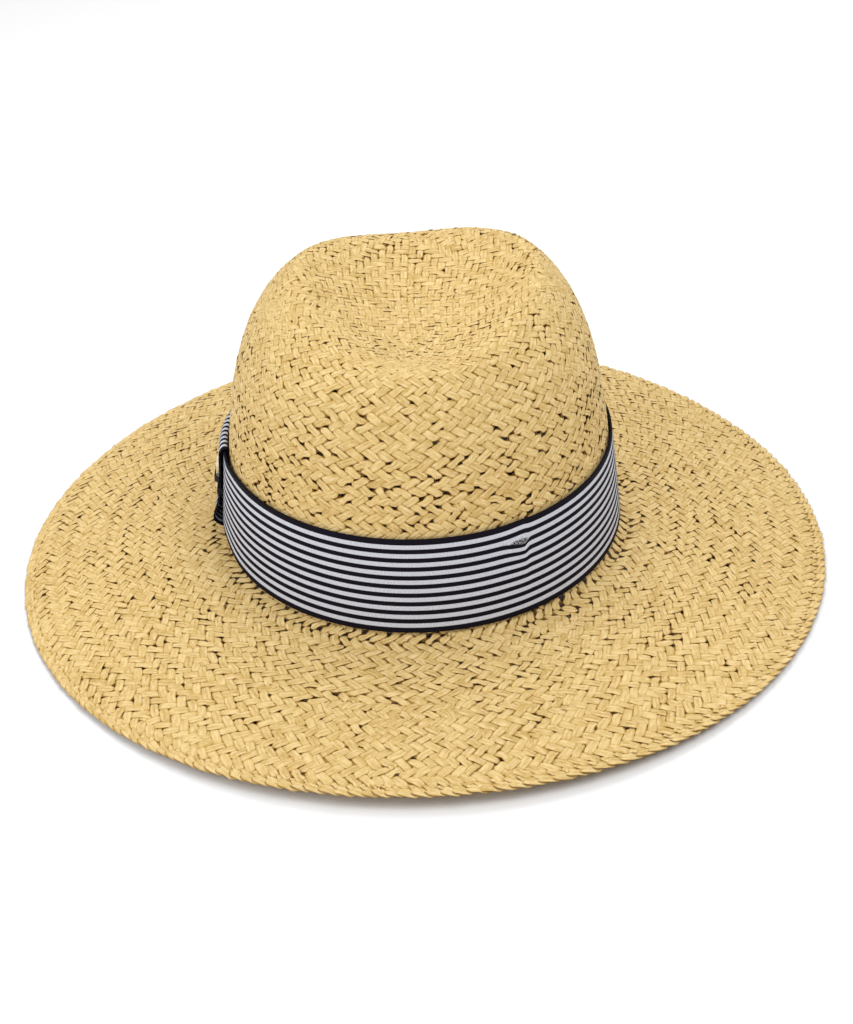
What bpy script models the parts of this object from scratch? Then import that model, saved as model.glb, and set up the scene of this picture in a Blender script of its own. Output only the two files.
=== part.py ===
"""Woven straw fedora with a striped ribbon band, a folded ribbon tab and a small metal slide.

The front of the hat faces -Y, the ribbon tab is on the -X side, and +Z is up.
Lengths below are in millimetres and angles in degrees until they reach a mesh.
The break is the line where the crown meets the brim; heights on the hat are measured
from the lower edge of the ribbon band, which lies just above it.
"""

import bpy
import bmesh
from math import acos, asin, cos, exp, pi, radians, sin, sqrt, tan
from mathutils import Matrix, Vector

MM = 0.001

# Head oval of the straw at the lower edge of the band
HALF_WIDTH = 85.3
HALF_LENGTH = 99.0
STRAW_THICKNESS = 2.0
WALL_TAPER = 5.4
TAPER_REACH = 90.0

# Crown as an open dome, before its dent
DOME_HEIGHT = 114.5
DOME_BACK_RISE = 4.4
DOME_RIGHT_RISE = 2.2
DOME_SIDE_RISE = 2.7
DOME_LOBE_RISE = 3.4
DOME_PLAN_POWER = 3.25
DOME_WALL_POWER = 4.85

# Teardrop dent pressed into the crown
DENT_FLOOR = 95.0
DENT_X = 2.0
DENT_Y = -20.0
DENT_RADIUS_ACROSS = 75.0
DENT_RADIUS_ALONG = 193.0
DENT_WIDENING = 0.4
RIDGE_SOFTNESS = 6.0

# Brim
BREAK_RADIUS = 2.5
BREAK_START = 0.9
BRIM_REACH = 90.5
EDGE_DROP = 13.9
EDGE_WAVE = 2.5
BRIM_FIRST_SLOPE = 0.55
RIM_DEPTH = 2.5
RIM_FLAT = 2.5
RIM_NOSE = 1.0

# Striped ribbon band round the crown
BAND_HEIGHT = 40.4
BAND_THICKNESS = 0.9
FIT_GAP = 0.3

# Ribbon tab: a loop of the same ribbon, passed upright round the band
TAB_FRONT = -13.0
TAB_WIDTH = 40.0
TAB_RIBBON = 0.5
TAB_SECTIONS = 11

# Middle line of the tab's outer leaf: height on the band, distance out from the band's face
# in the middle of the tab, and the same distance at both its edges
TAB_OUTER_LEAF = (
    (3.3, 1.4, 1.6),
    (4.4, 2.7, 3.1),
    (6.2, 3.7, 4.5),
    (8.0, 3.4, 4.75),
    (10.2, 2.2, 4.4),
    (12.6, 1.7, 3.75),
    (16.0, 1.6, 2.95),
    (21.0, 1.6, 2.45),
    (28.0, 1.65, 2.4),
    (33.0, 2.1, 2.6),
    (37.0, 2.5, 2.75),
    (39.3, 1.9, 2.0),
)

# The same for its two folds and for its inner leaf, which lies behind the band
TAB_INNER_LEAF = (
    (40.2, 0.7, 0.7),
    (39.9, -0.4, -0.4),
    (38.6, -0.65, -0.65),
    (31.5, -0.65, -0.65),
    (24.0, -0.65, -0.65),
    (17.0, -0.65, -0.65),
    (10.0, -0.65, -0.65),
    (4.5, -0.65, -0.65),
    (3.2, -0.4, -0.4),
    (2.85, 0.5, 0.5),
)
TAB_STEPS_PER_SPAN = 3

# How the tab's loop gathers the band: its edges drawn in and its face pushed out
GATHER_TOP = 1.5
GATHER_BOTTOM = 3.5
GATHER_SWELL = 0.8
GATHER_MARGIN = 7.0
GATHER_TOP_FADE = 30.0
GATHER_BOTTOM_FADE = 12.0
GATHER_SWELL_FADE = 10.0

# Metal slide on the tab
SLIDE_WIDTH = 17.0
SLIDE_HEIGHT = 16.5
SLIDE_BAR = 2.2
SLIDE_THICKNESS = 1.3
SLIDE_CORNER = 3.0
SLIDE_CHAMFER = 0.3
SLIDE_Y = 7.5
SLIDE_Z = 20.2
SLIDE_STANDOFF = 2.3
CORNER_STEPS = 5

# Plain tape that ties the tab's waist and holds the slide
KEEPER_HEIGHT = 2.7
KEEPER_THICKNESS = 0.5

# Middle line of the tape: place along the band, distance out from the band
KEEPER_PATH = (
    (-13.56, 1.4),
    (-13.56, 3.05),
    (-13.2, 3.35),
    (-10.0, 3.0),
    (-6.0, 2.7),
    (-3.9, 2.6),
    (-1.9, 4.45),
    (16.9, 4.45),
    (18.9, 2.6),
    (21.0, 2.75),
    (24.0, 3.0),
    (27.2, 3.35),
    (27.56, 3.05),
    (27.56, 1.4),
)

SEGMENTS = 72
WALL_HEIGHTS = (0.9, 14.0, 27.0, 41.0, 55.0, 69.0, 82.0)
TIP_RADII = (0.9, 0.84, 0.78, 0.72, 0.66, 0.61, 0.56, 0.51, 0.46, 0.4, 0.32, 0.22, 0.11)
BREAK_STEPS = 3
BRIM_STEPS = 6

BREAK_HEIGHT = EDGE_DROP + EDGE_WAVE * 0.75 + RIM_DEPTH


def segment_angles():
    """Angles round the oval, set so that a facet is centred on each side of the hat."""
    return [2 * pi * (index + 0.5) / SEGMENTS for index in range(SEGMENTS)]


def taper_scale(height):
    """How far the oval has closed in at a height on the wall."""
    return 1 - height * tan(radians(WALL_TAPER)) / TAPER_REACH


def dome_height(angle):
    """Height of the open dome on one side of the crown."""
    return (
        DOME_HEIGHT
        + DOME_BACK_RISE * sin(angle)
        + DOME_RIGHT_RISE * cos(angle)
        + DOME_SIDE_RISE * cos(2 * angle)
        + DOME_LOBE_RISE * sin(3 * angle)
    )


def dent_height(x, y):
    """Height of the bowl that is pressed into the dome; it is narrower to the front."""
    across = x - DENT_X
    along = y - DENT_Y
    radius = max(10.0, DENT_RADIUS_ACROSS * (1 + DENT_WIDENING * along / 100))
    return DENT_FLOOR + across * across / (2 * radius) + along * along / (2 * DENT_RADIUS_ALONG)


def soft_minimum(first, second, softness):
    """The lower of two heights, with the crease between them rounded."""
    share = min(1.0, max(0.0, 0.5 + 0.5 * (second - first) / softness))
    return second * (1 - share) + first * share - softness * share * (1 - share)


def crown_point(angle, rise):
    """Point on the outside of the crown; rise runs from 0 at the break to 1 at the tip."""
    plan = cos(rise * pi / 2) ** (2 / DOME_PLAN_POWER)
    height = dome_height(angle) * sin(rise * pi / 2) ** (2 / DOME_WALL_POWER)
    scale = plan * taper_scale(height)
    x = HALF_WIDTH * scale * cos(angle)
    y = HALF_LENGTH * scale * sin(angle)
    return Vector((x, y, soft_minimum(height, dent_height(x, y), RIDGE_SOFTNESS)))


def rise_at_height(height):
    """Rise at which the dome's wall has a height."""
    return asin((height / DOME_HEIGHT) ** (DOME_WALL_POWER / 2)) / (pi / 2)


def rise_at_radius(radius):
    """Rise at which the dome has closed to a share of its oval."""
    return acos(radius ** (DOME_PLAN_POWER / 2)) / (pi / 2)


def oval_point(angle, outward, height):
    """Point at a distance out from the head oval, square to it."""
    normal = Vector((HALF_LENGTH * cos(angle), HALF_WIDTH * sin(angle), 0)).normalized()
    x = HALF_WIDTH * cos(angle) + normal.x * outward
    y = HALF_LENGTH * sin(angle) + normal.y * outward
    return Vector((x, y, height))


def edge_height(angle):
    """Height of the brim's edge: low and level along both sides, higher front and back."""
    wave = -cos(2 * angle) + cos(4 * angle) / 4
    return -EDGE_DROP + EDGE_WAVE * wave


def edge_reach(angle):
    """Distance of the brim's edge out from the oval, for one width along the slope."""
    drop = edge_height(angle) - BREAK_START + BREAK_RADIUS
    return sqrt(BRIM_REACH ** 2 - drop ** 2)


def brim_point(angle, way):
    """Point on the top of the brim; way runs from 0 at the break to 1 at the edge."""
    start = BREAK_START - BREAK_RADIUS
    outward = BREAK_RADIUS + (edge_reach(angle) - BREAK_RADIUS) * way
    bend = BRIM_FIRST_SLOPE * way + (1 - BRIM_FIRST_SLOPE) * way * way
    return oval_point(angle, outward, start + (edge_height(angle) - start) * bend)


def break_point(angle, turn):
    """Point on the rounded break; turn runs from 0 at the wall to 1 at the brim."""
    swing = turn * pi / 2
    outward = BREAK_RADIUS * (1 - cos(swing))
    return oval_point(angle, outward, BREAK_START - BREAK_RADIUS * sin(swing))


def outer_rings():
    """Rings of the straw's outside, from the centre of the tip to the edge of the brim."""
    angles = segment_angles()
    rises = [rise_at_height(height) for height in WALL_HEIGHTS]
    rises += [rise_at_radius(radius) for radius in TIP_RADII]
    rings = [[crown_point(angle, rise) for angle in angles] for rise in reversed(rises)]
    for step in range(1, BREAK_STEPS + 1):
        rings.append([break_point(angle, step / BREAK_STEPS) for angle in angles])
    for step in range(1, BRIM_STEPS + 1):
        way = step / BRIM_STEPS * (1 - RIM_NOSE / BRIM_REACH)
        rings.append([brim_point(angle, way) for angle in angles])
    return rings


def offset_rings(rings, distance):
    """Rings moved inward along the surface's normal, for the other side of the straw."""
    moved = []
    count = len(rings[0])
    for row, ring in enumerate(rings):
        before = rings[max(row - 1, 0)]
        after = rings[min(row + 1, len(rings) - 1)]
        points = []
        for index, point in enumerate(ring):
            around = ring[(index + 1) % count] - ring[index - 1]
            down = after[index] - before[index]
            normal = down.cross(around).normalized()
            points.append(point - normal * distance)
        moved.append(points)
    return moved


def rim_rings():
    """Rings round the brim's edge: its nose, and the flat strip that it stands on."""
    rings = []
    for back, depth in ((0.0, 1.2), (0.9, RIM_DEPTH), (0.9 + RIM_FLAT, RIM_DEPTH)):
        ring = []
        for angle in segment_angles():
            outward = edge_reach(angle) - back
            ring.append(oval_point(angle, outward, edge_height(angle) - depth))
        rings.append(ring)
    return rings


def lift(points):
    """Millimetres on the hat to metres above the surface that the hat stands on."""
    return [Vector((x, y, z + BREAK_HEIGHT)) * MM for x, y, z in points]


def ring_surface(bm, rings):
    """Lays a band of quads between each ring of points and the next."""
    rows = [[bm.verts.new(point) for point in ring] for ring in rings]
    count = len(rows[0])
    for first, second in zip(rows, rows[1:]):
        for index in range(count):
            after = (index + 1) % count
            bm.faces.new((first[index], second[index], second[after], first[after]))
    return rows


def close_end(bm, row):
    """Closes a ring with one face, drawn to a point in its middle."""
    face = bm.faces.new(row)
    bmesh.ops.poke(bm, faces=[face], center_mode="MEAN")


def finish(name, bm, material, sharp_angle):
    """Turns a bmesh into a named object with its normals out and its faces smooth."""
    bmesh.ops.recalc_face_normals(bm, faces=bm.faces)
    mesh = bpy.data.meshes.new(name)
    bm.to_mesh(mesh)
    bm.free()
    mesh.shade_smooth()
    mesh.set_sharp_from_angle(angle=radians(sharp_angle))
    mesh.materials.append(material)
    item = bpy.data.objects.new(name, mesh)
    bpy.context.scene.collection.objects.link(item)
    return item


def make_material(name, colour, roughness, metallic):
    """Plain material in a piece's own colour."""
    material = bpy.data.materials.new(name)
    material.use_nodes = True
    shader = material.node_tree.nodes["Principled BSDF"]
    shader.inputs["Base Color"].default_value = (*colour, 1)
    shader.inputs["Roughness"].default_value = roughness
    shader.inputs["Metallic"].default_value = metallic
    return material


def make_straw_body():
    """Crown and brim in one piece of woven straw, open below for the head."""
    outside = outer_rings()
    inside = offset_rings(outside, STRAW_THICKNESS)
    inner_rows = list(reversed(inside[:-1]))
    rings = [lift(ring) for ring in outside + rim_rings() + inner_rows]
    bm = bmesh.new()
    rows = ring_surface(bm, rings)
    close_end(bm, rows[0])
    close_end(bm, rows[-1])
    straw = make_material("straw", (0.76, 0.54, 0.25), 0.6, 0.0)
    return finish("straw_body", bm, straw, 40)


def wall_scale(height):
    """How far the oval of the crown's wall has closed in at a height."""
    plan = cos(rise_at_height(height) * pi / 2) ** (2 / DOME_PLAN_POWER)
    return taper_scale(height) * plan


def band_point(angle, height, outward):
    """Point at a distance out from the straw's wall."""
    scale = wall_scale(height)
    normal = Vector((HALF_LENGTH * cos(angle), HALF_WIDTH * sin(angle), 0)).normalized()
    x = HALF_WIDTH * scale * cos(angle) + normal.x * outward
    y = HALF_LENGTH * scale * sin(angle) + normal.y * outward
    return Vector((x, y, height))


def gathering(angle, fade):
    """How fully the tab's loop acts on the band: 1 at the tab, fading out to both sides."""
    if cos(angle) > 0:
        return 0.0
    along = HALF_LENGTH * wall_scale(BAND_HEIGHT / 2) * sin(angle)
    beyond = max(TAB_FRONT - along, along - TAB_FRONT - TAB_WIDTH) - GATHER_MARGIN
    return exp(-(max(beyond, 0.0) / fade) ** 2)


def gathered_point(angle, share, outward):
    """Point on the band, at a share of its height, with the tab's loop drawn round it."""
    low = GATHER_BOTTOM * gathering(angle, GATHER_BOTTOM_FADE)
    high = BAND_HEIGHT - GATHER_TOP * gathering(angle, GATHER_TOP_FADE)
    swell = GATHER_SWELL * gathering(angle, GATHER_SWELL_FADE)
    return band_point(angle, low + (high - low) * share, outward + swell)


def make_hat_band():
    """Ribbon wrapped once round the crown, standing just above the brim."""
    inner = FIT_GAP
    outer = FIT_GAP + BAND_THICKNESS
    corners = ((inner, 0), (outer, 0), (outer, 0.5), (outer, 1), (inner, 1), (inner, 0.5))
    angles = segment_angles()
    bm = bmesh.new()
    rings = []
    for outward, share in corners:
        rings.append(lift([gathered_point(angle, share, outward) for angle in angles]))
    rows = ring_surface(bm, rings)
    count = len(rows[0])
    for index in range(count):
        after = (index + 1) % count
        bm.faces.new((rows[-1][index], rows[0][index], rows[0][after], rows[-1][after]))
    ribbon = make_material("ribbon", (0.31, 0.3, 0.32), 0.55, 0.0)
    return finish("hat_band", bm, ribbon, 30)


def side_point(along, height, outward):
    """Point at a distance out from the band on the tab's side of the hat."""
    scale = wall_scale(height)
    face = FIT_GAP + BAND_THICKNESS
    half_width = HALF_WIDTH * scale + face
    half_length = HALF_LENGTH * scale + face
    across = -half_width * sqrt(1 - (along / half_length) ** 2)
    normal = Vector((across / half_width ** 2, along / half_length ** 2, 0)).normalized()
    return Vector((across, along, height)) + normal * outward


def smooth_path(table, steps):
    """Points on a smooth curve through the rows of a table."""
    rows = [Vector(row) for row in table]
    rows = [2 * rows[0] - rows[1]] + rows + [2 * rows[-1] - rows[-2]]
    points = []
    for p0, p1, p2, p3 in zip(rows, rows[1:], rows[2:], rows[3:]):
        for step in range(steps):
            u = step / steps
            bend = 2 * p0 - 5 * p1 + 4 * p2 - p3
            twist = 3 * p1 - p0 - 3 * p2 + p3
            points.append(p1 + 0.5 * ((p2 - p0) * u + bend * u ** 2 + twist * u ** 3))
    points.append(rows[-2])
    return points


def offset_loop(points, distance, closed):
    """Path moved sideways by a distance, its corners mitred."""
    count = len(points)
    moved = []
    for index, point in enumerate(points):
        ahead = points[(index + 1) % count] if closed or index < count - 1 else point
        behind = points[index - 1] if closed or index > 0 else point
        into = (point - behind).normalized() if behind != point else (ahead - point).normalized()
        out = (ahead - point).normalized() if ahead != point else into
        side_in = Vector((-into.y, into.x))
        side_out = Vector((-out.y, out.x))
        side = (side_in + side_out).normalized()
        moved.append(point + side * (distance / max(side.dot(side_in), 0.4)))
    return moved


def tab_section(edge_share):
    """Middle line of the tab's loop, from its form in the middle to that at its edges."""
    rows = []
    for table in (TAB_OUTER_LEAF, TAB_INNER_LEAF):
        rows.append([(h, middle + (edge - middle) * edge_share) for h, middle, edge in table])
    outer_leaf = smooth_path(rows[0], TAB_STEPS_PER_SPAN)
    return outer_leaf + [Vector(row) for row in rows[1]]


def make_ribbon_tab():
    """Upright loop of ribbon round the band, pinched to a waist where the slide sits."""
    steps = range(TAB_SECTIONS)
    fronts, backs = [], []
    for share in [index / (TAB_SECTIONS - 1) for index in steps]:
        along = TAB_FRONT + TAB_WIDTH * share
        middle = tab_section(abs(2 * share - 1) ** 3)
        for faces, distance in ((fronts, TAB_RIBBON / 2), (backs, -TAB_RIBBON / 2)):
            loop = offset_loop(middle, distance, True)
            faces.append([side_point(along, *point) for point in loop])
    rings = fronts + list(reversed(backs))
    bm = bmesh.new()
    rows = ring_surface(bm, [lift(ring) for ring in rings])
    count = len(rows[0])
    for index in range(count):
        after = (index + 1) % count
        bm.faces.new((rows[-1][index], rows[0][index], rows[0][after], rows[-1][after]))
    ribbon = make_material("tab_ribbon", (0.31, 0.3, 0.32), 0.55, 0.0)
    return finish("ribbon_tab", bm, ribbon, 40)


def make_tab_keeper():
    """Plain tape across the tab, over the slide and round both edges of the tab."""
    middle = [Vector(row) for row in KEEPER_PATH]
    left = offset_loop(middle, KEEPER_THICKNESS / 2, False)
    right = offset_loop(middle, -KEEPER_THICKNESS / 2, False)
    outline = left + list(reversed(right))
    heights = (SLIDE_Z - KEEPER_HEIGHT / 2, SLIDE_Z + KEEPER_HEIGHT / 2)
    bm = bmesh.new()
    rings = []
    for height in heights:
        rings.append(lift([side_point(along, height, outward) for along, outward in outline]))
    rows = ring_surface(bm, rings)
    for row in rows:
        half = len(row) // 2
        for index in range(half - 1):
            bm.faces.new((row[index], row[index + 1], row[-index - 2], row[-index - 1]))
    tape = make_material("keeper_tape", (0.017, 0.015, 0.02), 0.6, 0.0)
    return finish("tab_keeper", bm, tape, 30)


def rounded_rectangle(width, height, radius):
    """Outline of a rectangle with round corners, anticlockwise."""
    points = []
    for corner in range(4):
        side_x = 1 if corner in (0, 3) else -1
        side_y = 1 if corner in (0, 1) else -1
        centre_x = side_x * (width / 2 - radius)
        centre_y = side_y * (height / 2 - radius)
        for step in range(CORNER_STEPS + 1):
            angle = pi / 2 * (corner + step / CORNER_STEPS)
            points.append((centre_x + radius * cos(angle), centre_y + radius * sin(angle)))
    return points


def make_slide():
    """Flat metal slide: an open frame with round corners and eased edges."""
    chamfer = SLIDE_CHAMFER
    window_width = SLIDE_WIDTH - 2 * SLIDE_BAR
    window_height = SLIDE_HEIGHT - 2 * SLIDE_BAR
    window_corner = SLIDE_CORNER - SLIDE_BAR + 0.6
    rings = []
    frame = (
        (SLIDE_WIDTH, SLIDE_HEIGHT, SLIDE_CORNER, 1),
        (window_width, window_height, window_corner, -1),
    )
    levels = ((chamfer, 0.0), (0.0, chamfer), (0.0, SLIDE_THICKNESS - chamfer), (chamfer, SLIDE_THICKNESS))
    for width, height, corner, side in frame:
        for inset, level in levels if side > 0 else reversed(levels):
            change = 2 * inset * side
            outline = rounded_rectangle(width - change, height - change, corner - inset * side)
            rings.append([Vector((x, y, level)) * MM for x, y in outline])
    bm = bmesh.new()
    rows = ring_surface(bm, rings)
    count = len(rows[0])
    for index in range(count):
        after = (index + 1) % count
        bm.faces.new((rows[-1][index], rows[0][index], rows[0][after], rows[-1][after]))
    gold = make_material("slide_metal", (0.85, 0.68, 0.38), 0.25, 1.0)
    slide = finish("slide", bm, gold, 30)
    seat = side_point(SLIDE_Y, SLIDE_Z, SLIDE_STANDOFF)
    low = side_point(SLIDE_Y, SLIDE_Z - 5, 0)
    high = side_point(SLIDE_Y, SLIDE_Z + 5, 0)
    up = (high - low).normalized()
    flat = side_point(SLIDE_Y, SLIDE_Z, 1) - side_point(SLIDE_Y, SLIDE_Z, 0)
    out = (flat - up * flat.dot(up)).normalized()
    across = up.cross(out)
    turn = Matrix((across, up, out)).transposed()
    slide.location = lift([seat])[0]
    slide.rotation_euler = turn.to_euler()
    return slide


def clear_scene():
    """Empties the file, so that the hat is the only thing in it."""
    for item in list(bpy.data.objects):
        bpy.data.objects.remove(item, do_unlink=True)


clear_scene()
make_straw_body()
make_hat_band()
make_ribbon_tab()
make_tab_keeper()
make_slide()
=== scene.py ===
"""Looks of the woven straw fedora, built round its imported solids.

The front of the hat faces -Y, the ribbon tab is on the -X side, and +Z is up. The shapes
are worked out in millimetres, as in the part's source, and are turned to metres in a mesh.
The straw is woven strip by strip: each strip starts as a fold, runs down the hat in both
directions, and turns back at the edge of the brim.
"""

from math import cos, pi, radians, sin, sqrt, tan

import bpy
import numpy as np
from mathutils import Matrix, Vector


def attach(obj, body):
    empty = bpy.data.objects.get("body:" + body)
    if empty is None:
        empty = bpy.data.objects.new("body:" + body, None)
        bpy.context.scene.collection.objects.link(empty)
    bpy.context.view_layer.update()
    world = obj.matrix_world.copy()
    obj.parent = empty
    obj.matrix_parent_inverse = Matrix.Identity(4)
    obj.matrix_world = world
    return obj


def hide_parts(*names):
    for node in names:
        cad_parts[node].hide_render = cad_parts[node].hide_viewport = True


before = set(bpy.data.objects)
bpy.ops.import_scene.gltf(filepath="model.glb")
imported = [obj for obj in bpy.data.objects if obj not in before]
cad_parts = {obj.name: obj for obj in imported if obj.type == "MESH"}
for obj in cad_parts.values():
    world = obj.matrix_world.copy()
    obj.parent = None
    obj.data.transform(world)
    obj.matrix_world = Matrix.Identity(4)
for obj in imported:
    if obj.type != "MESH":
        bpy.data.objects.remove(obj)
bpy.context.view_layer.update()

MM = 0.001

# Form of the hat, as in the part's source
HALF_WIDTH = 85.3
HALF_LENGTH = 99.0
WALL_TAPER = 5.4
TAPER_REACH = 90.0
DOME_HEIGHT = 114.5
DOME_BACK_RISE = 4.4
DOME_RIGHT_RISE = 2.2
DOME_SIDE_RISE = 2.7
DOME_LOBE_RISE = 3.4
DOME_PLAN_POWER = 3.25
DOME_WALL_POWER = 4.85
DENT_FLOOR = 95.0
DENT_X = 2.0
DENT_Y = -20.0
DENT_RADIUS_ACROSS = 75.0
DENT_RADIUS_ALONG = 193.0
DENT_LEAST_RADIUS = 10.0
DENT_WIDENING = 0.4
DENT_WIDENING_REACH = 100
RIDGE_SOFTNESS = 6.0
BREAK_RADIUS = 2.5
BREAK_START = 0.9
BRIM_REACH = 90.5
EDGE_DROP = 13.9
EDGE_WAVE = 2.5
BRIM_FIRST_SLOPE = 0.55
RIM_DEPTH = 2.5
BREAK_HEIGHT = EDGE_DROP + EDGE_WAVE * 0.75 + RIM_DEPTH

# Ribbon, tab, tape and slide, as in the part's source
FIT_GAP = 0.3
BAND_HEIGHT = 40.4
BAND_THICKNESS = 0.9
BAND_JOIN_ANGLE = 180.0
LOWEST_BAND = 0.02
TAB_FRONT = -13.0
TAB_WIDTH = 40.0
TAB_RIBBON = 0.5

# Leaves of the tab: height, distance out from the band in the middle and at the edges
TAB_OUTER_LEAF = (
    (3.3, 1.4, 1.6), (4.4, 2.7, 3.1), (6.2, 3.7, 4.5), (8.0, 3.4, 4.75),
    (10.2, 2.2, 4.4), (12.6, 1.7, 3.75), (16.0, 1.6, 2.95), (21.0, 1.6, 2.45),
    (28.0, 1.65, 2.4), (33.0, 2.1, 2.6), (37.0, 2.5, 2.75), (39.3, 1.9, 2.0),
)
TAB_INNER_LEAF = (
    (40.2, 0.7), (39.9, -0.4), (38.6, -0.65), (31.5, -0.65), (24.0, -0.65),
    (17.0, -0.65), (10.0, -0.65), (4.5, -0.65), (3.2, -0.4), (2.85, 0.5),
)

# How the tab's loop gathers the band: by how much, and how far that fades out
GATHER_TOP = (1.5, 30.0)
GATHER_BOTTOM = (3.5, 12.0)
GATHER_SWELL = (0.8, 10.0)
GATHER_MARGIN = 7.0

# Tape across the tab: its height, and its path by distances along the hat and out
SLIDE_Z = 20.2
KEEPER_HEIGHT = 2.7
KEEPER_THICKNESS = 0.5
KEEPER_PATH = (
    (-13.56, 1.4), (-13.56, 3.05), (-13.2, 3.35), (-10.0, 3.0), (-6.0, 2.7),
    (-3.9, 2.6), (-1.9, 4.45), (16.9, 4.45), (18.9, 2.6), (21.0, 2.75),
    (24.0, 3.0), (27.2, 3.35), (27.56, 3.05), (27.56, 1.4),
)

# Weave
WEAVE_SEED = 7
WEAVE_DEPTH = 0.85
CROWN_ROWS = 98
LAST_ROW = 138

# Section of a strip: its greatest width, its corners by share of the width and by height,
# and where they lie on the map of its streaks
STRIP_WIDTH = 3.5
STRIP_PROFILE = ((-0.5, 0), (-0.26, 0.13), (0.26, 0.13), (0.5, 0), (0, -0.13))
STRIP_ACROSS = (0.0, 0.26, 0.74, 1.0, 0.5)

# Height of a float, and where its end lies on the way to the change, with what share of
# the height and of the opening
STRIP_RISE = 0.27
FLANK_SHARE = 0.3
FLANK_RISE = 0.94
FLANK_GAP = 0.15
PLAIN_GAP = 0.4

# Square start of the weave at the tip
START_ROWS = 16
START_PITCH = 2.8
SQUARE_END_ROW = 40
WEAVE_START_X = -2.0
WEAVE_START_Y = 8.5
START_SHIFT_REACH = 0.62

# Spacing of crossings at the break, the rows that lead to it, and the strips' least steepness
BREAK_SPACING = 4.7
BREAK_INCREASE_ROWS = 4
LEAST_STEEPNESS = 0.3

# Turn round the brim's edge: its length, how far in its rows lie, and its points by cells
# along, rows past the last, side of the weave and height beyond a float's
TURN_LENGTH = 3.3
TURN_INSETS = (2.1, 1.5)
TURN_MARGIN = 0.2
TURN_POINTS = ((0.4, 0.5, 1, 0.05), (0.85, 1, 1, -0.1), (1.3, 1, -1, -0.45), (1.65, 0.5, -1, -0.7))

# What varies by chance: rows, crossings, and a section's height, tilt, place and fullness
STEADY_ROWS = 4
ROW_WANDER = 0.12
CROSSING_WANDER = 0.3
CROSSING_EASE = 0.3
CHOICE_WANDER = 0.3
HEIGHT_WANDER = 0.05
TILT_WANDER = 5.0
SIDE_WANDER = 0.08
STRIP_FULLNESS = 1.07
FULLNESS_WANDER = 0.05
SECTION_WANDER = 0.04
NARROWEST_STRIP = 0.7
LARGEST_LEAN = 0.5

# Steps of the fine paths under the rows, and where the tip's steps end
ROUND_SAMPLES = 1440
OVAL_SAMPLES = 7201
TIP_STEPS = 181
TIP_REACH = 0.9
SHOULDER_STEP = 0.7
WALL_STEPS = 120
BREAK_STEPS = 8
BRIM_STEPS = 100
NORMAL_REACH = 4

# Distance between strips side by side, by row
STRIP_PITCHES = ((16, 2.8), (30, 2.9), (55, 3.17), (97, 3.17), (98, 3.15), (138, 3.5))

# Distance from row to row on the crown, and on the brim by rows from the break
CROWN_ROW_PITCHES = ((0, 2.3), (10, 2.15), (25, 2.0), (45, 1.93), (98, 1.9))
BRIM_ROW_PITCHES = ((0, 2.9), (2, 2.75), (4, 2.15), (14, 1.98), (40, 2.45))

# Share of the crossings with an opening beside them, and the largest opening, by row
GAP_SHARES = (
    (0, 0.13), (48, 0.17), (56, 0.28), (96, 0.28), (99, 0.6), (102, 0.16), (120, 0.18), (138, 0.07),
)
GAP_SIZES = ((0, 0.9), (48, 1.1), (56, 1.7), (100, 1.9), (104, 1.3), (138, 1.1))
SAME_PLACE = 0.3

# Slow noises that gather the openings in patches
SLACK_SCALES = (34.0, 13.0)
SLACK_WAVES = 12
SLACK_LIMITS = (0.1, 2)

# Painted shade, from 0 for none to 1 for full, of a strip's edges and ridges by how deep in
# the weave they lie, by its height from -1 below to 1 above, what a wide opening adds to them,
# and the painted shade of its underside halfway up
EDGE_SHADES = ((-1, 1), (0, 0.96), (1, 0.84))
RIDGE_SHADES = ((-1, 0.8), (0, 0.62), (1, 0))
EDGE_GAP_SHADE = 0.14
RIDGE_GAP_SHADE = 0.3
BELLY_SHADE = 0.6

# What a strip notes at each crossing, and the columns of the points along it
CROSSING_KEYS = ("shares", "drops", "widths", "gaps", "others", "leans")
SHARE, ROW, RISE, WIDTH, PLUS_GAP, MINUS_GAP, LEAN = range(7)
GAPS = slice(PLUS_GAP, LEAN)

# Pieces of the weave, each from one row of crossings to another
WEAVE_PIECES = (
    ("crown_tip_weave", 0, 58),
    ("crown_wall_weave", 58, 98),
    ("inner_brim_weave", 98, 118),
    ("outer_brim_weave", 118, 140),
)

# Stripes of the ribbon, the teeth of their edges, and its ribs and threads
SELVEDGE = 2.35
WHITE_STRIPE = 2.0
NAVY_STRIPE = 1.76
TOOTH_PITCH = 0.62
TOOTH_DEPTH = 0.08
STRIPE_SOFTNESS = 0.16
RIB_PITCH = 0.58
THREAD_PITCH = 0.32
TAPE_RIB_PITCH = 0.55

# Angle above which the edge between two faces stays sharp
SMOOTH_ANGLE = 50

# Slight waves of the band's face and edges, and of the tab's outer leaf
BAND_WAVE = 0.12
BAND_EDGE_WAVE = 0.15
TAB_WAVE = 0.1

# Snag in the ribbon: its place on the band, and how far it pushes the stripes about
SNAG_ANGLE = 298.3
SNAG_HEIGHT = 31.8
SNAG_PUSH_DOWN = 2.2
SNAG_PUSH_UP = 0.35
SNAG_STRETCH = (32.3, 34.3)
SNAG_REACHES = (6.5, 1.8)
SNAG_FADE = 7.0

# Relief of the snag: a swelling above it, a crease below, and the band's lifted edge
SNAG_SWELL = 0.4
SWELL_ABOVE = 1.4
SWELL_REACHES = (7.0, 3.0)
SWELL_HEIGHT = 3.0
SNAG_CREASE = 0.3
CREASE_BELOW = 1.6
CREASE_LENGTH = 3.5
CREASE_HEIGHT = 1.0
SNAG_EDGE_LIFT = 0.3

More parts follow.
